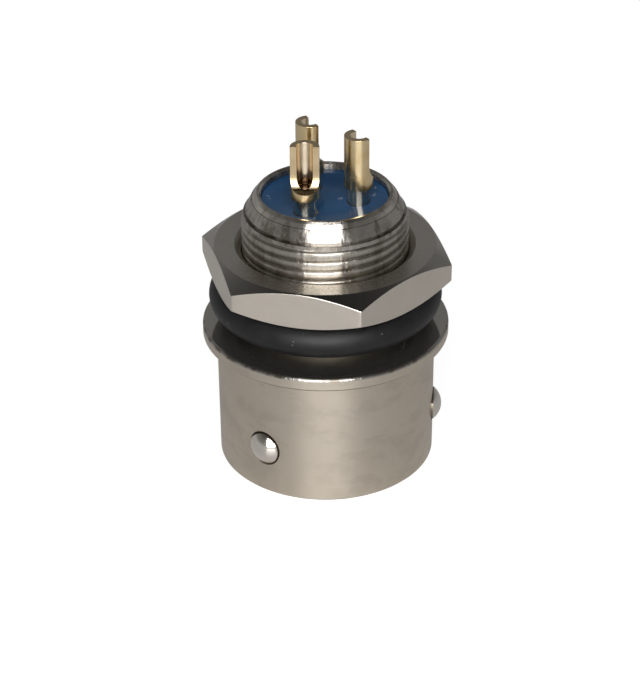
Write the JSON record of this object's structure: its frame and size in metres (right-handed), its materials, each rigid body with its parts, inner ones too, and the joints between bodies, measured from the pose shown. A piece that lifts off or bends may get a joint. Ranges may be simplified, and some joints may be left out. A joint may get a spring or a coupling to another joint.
{
  "type": "circular connector receptacle",
  "caption": "Panel-mount circular power connector receptacle: turned shell with bayonet studs, flange and threaded barrel, hex nut on a sealing ring, and pins with solder cups.",
  "frame": {"origin": "centre of the mating mouth, on the plane of the sleeve's end", "axes": "+Z along the connector's axis, from the mating mouth to the solder cups; +X towards the first contact"},
  "size_m": [0.024, 0.024, 0.0341],
  "materials": {
    "nickel": "satin nickel plate on turned brass",
    "nickel_stud": "bright nickel plate",
    "nickel_nut": "bright nickel plate on brass",
    "seal_rubber": "matte black moulded rubber",
    "blue_insulator": "glossy dark blue moulded plastic",
    "spring_steel": "plain spring steel",
    "gold": "gold plate on turned brass"
  },
  "bodies": {
    "connector": {"shell": "nickel", "bayonet_stud_1": "nickel_stud", "bayonet_stud_2": "nickel_stud", "bayonet_stud_3": "nickel_stud", "rear_insulator": "blue_insulator", "front_insulator": "blue_insulator", "retaining_ring": "spring_steel", "contact_1": "gold", "contact_2": "gold", "contact_3": "gold"},
    "seal": {"o_ring": "seal_rubber"},
    "nut": {"hex_nut": "nickel_nut"}
  },
  "joints": [
    {"name": "nut_travel", "type": "slide", "parent": "connector", "child": "seal", "axis": [0, 0, 1], "range_m": [-0.00126, 0.00701]},
    {"name": "nut_spin", "type": "hinge", "parent": "seal", "child": "nut", "pos_m": [0, 0, 0.021], "axis": [0, 0, 1], "range_deg": [-450, 2520]}
  ],
  "couplings": [
    {"joint": "nut_travel", "follows": "nut_spin", "m_per_rad": 0.00015915}
  ]
}
